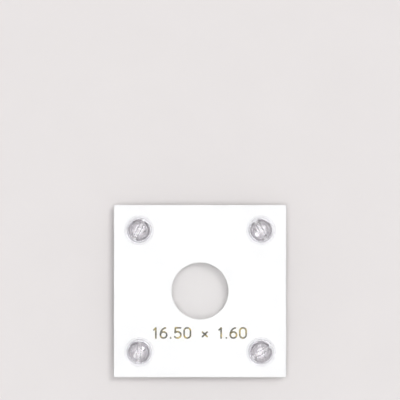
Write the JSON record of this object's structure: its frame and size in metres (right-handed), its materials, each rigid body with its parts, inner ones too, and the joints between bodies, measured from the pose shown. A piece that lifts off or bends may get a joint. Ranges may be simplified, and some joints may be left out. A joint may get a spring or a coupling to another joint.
{
  "type": "coin holder",
  "caption": "Square coin holder: an opaque centre plate with a round coin seat between two clear covers, held by a domed plastic screw and barrel nut in each corner.",
  "frame": {"origin": "under the middle of the plates, on the surface that the four nut heads rest on", "axes": "+Z out of the front face, through the front cover; +Y towards the plates' upper edge; +X to the right seen from the front"},
  "size_m": [0.0508, 0.0508, 0.0087],
  "materials": {
    "clear_sheet": "polished",
    "white_sheet": "gloss",
    "clear_fastener": "polished",
    "gold_foil": "satin"
  },
  "bodies": {
    "rear_cover": {"rear_cover": "clear_sheet"},
    "centre_plate": {"centre_plate": "white_sheet"},
    "front_cover": {"front_cover": "clear_sheet"},
    "screw_1": {"screw_1": "clear_fastener"},
    "nut_1": {"nut_1": "clear_fastener"},
    "screw_2": {"screw_2": "clear_fastener"},
    "nut_2": {"nut_2": "clear_fastener"},
    "screw_3": {"screw_3": "clear_fastener"},
    "nut_3": {"nut_3": "clear_fastener"},
    "screw_4": {"screw_4": "clear_fastener"},
    "nut_4": {"nut_4": "clear_fastener"}
  },
  "joints": [
    {"name": "centre_plate_lift", "type": "slide", "parent": "rear_cover", "child": "centre_plate", "axis": [0, 0, 1], "range_m": [0, 0.02]},
    {"name": "front_cover_lift", "type": "slide", "parent": "centre_plate", "child": "front_cover", "axis": [0, 0, 1], "range_m": [0, 0.02]},
    {"name": "nut_1_turn", "type": "hinge", "parent": "rear_cover", "child": "nut_1", "pos_m": [-0.018, 0.018, 0.00197], "axis": [0, 0, -1], "range_deg": [0, 2160]},
    {"name": "screw_1_rise", "type": "slide", "parent": "front_cover", "child": "screw_1", "axis": [0, 0, 1], "range_m": [0, 0.0042]},
    {"name": "nut_2_turn", "type": "hinge", "parent": "rear_cover", "child": "nut_2", "pos_m": [0.018, 0.018, 0.00197], "axis": [0, 0, -1], "range_deg": [0, 2160]},
    {"name": "screw_2_rise", "type": "slide", "parent": "front_cover", "child": "screw_2", "axis": [0, 0, 1], "range_m": [0, 0.0042]},
    {"name": "nut_3_turn", "type": "hinge", "parent": "rear_cover", "child": "nut_3", "pos_m": [0.018, -0.018, 0.00197], "axis": [0, 0, -1], "range_deg": [0, 2160]},
    {"name": "screw_3_rise", "type": "slide", "parent": "front_cover", "child": "screw_3", "axis": [0, 0, 1], "range_m": [0, 0.0042]},
    {"name": "nut_4_turn", "type": "hinge", "parent": "rear_cover", "child": "nut_4", "pos_m": [-0.018, -0.018, 0.00197], "axis": [0, 0, -1], "range_deg": [0, 2160]},
    {"name": "screw_4_rise", "type": "slide", "parent": "front_cover", "child": "screw_4", "axis": [0, 0, 1], "range_m": [0, 0.0042]}
  ],
  "couplings": [
    {"joint": "nut_1_turn", "follows": "screw_1_rise", "rad_per_m": 8976},
    {"joint": "nut_2_turn", "follows": "screw_2_rise", "rad_per_m": 8976},
    {"joint": "nut_3_turn", "follows": "screw_3_rise", "rad_per_m": 8976},
    {"joint": "nut_4_turn", "follows": "screw_4_rise", "rad_per_m": 8976}
  ]
}
